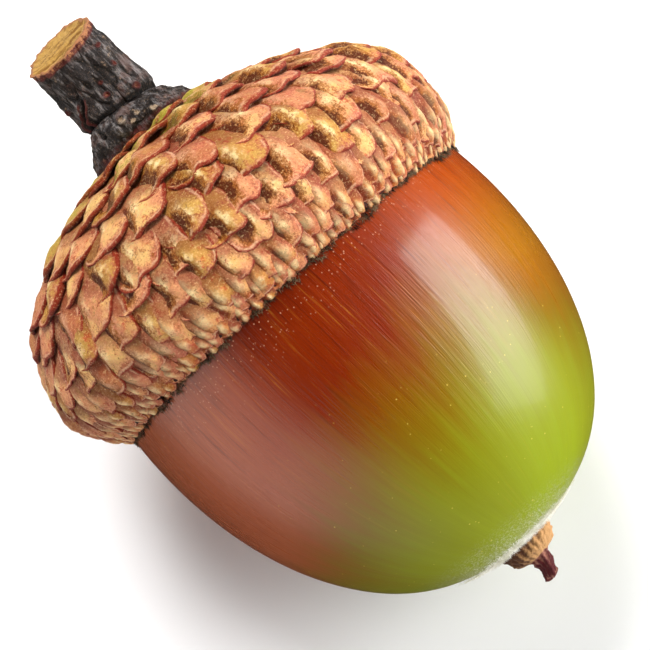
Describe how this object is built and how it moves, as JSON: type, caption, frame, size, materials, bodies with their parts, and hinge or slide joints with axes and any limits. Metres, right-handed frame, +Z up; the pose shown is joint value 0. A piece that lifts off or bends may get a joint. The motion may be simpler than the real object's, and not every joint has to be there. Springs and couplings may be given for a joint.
{
  "type": "acorn",
  "caption": "Fresh oak acorn lying on its side: a smooth, round nut in a scaly woody cup, with a short cut twig at one end and the dried style at the other.",
  "frame": {"origin": "on the surface that the acorn lies on, under the middle of its box", "axes": "+X towards the tip of the nut, level; +Z up; +Y to the left of the tip"},
  "size_m": [0.0372, 0.0248, 0.0245],
  "materials": {
    "nut_skin": "smooth, glossy, waxy skin: red-brown at the cup, streaked lengthwise, turning yellow-green at the tip",
    "tip_collar": "dry, matt, finely ribbed, tan brown",
    "tip_style": "dry, matt, maroon",
    "cup_scales": "matt, felted scales: tan and ochre, with red-brown edges and dark creases",
    "stalk_bark": "rough, matt, charcoal-grey bark with pale knots",
    "twig_bark": "rough, matt, charcoal-grey ridged bark, with golden tan wood on the cut end"
  },
  "bodies": {
    "root": {"nut": "nut_skin", "tip_collar": "tip_collar", "tip_style": "tip_style", "cup": "cup_scales", "stalk": "stalk_bark", "twig": "twig_bark"}
  },
  "joints": []
}
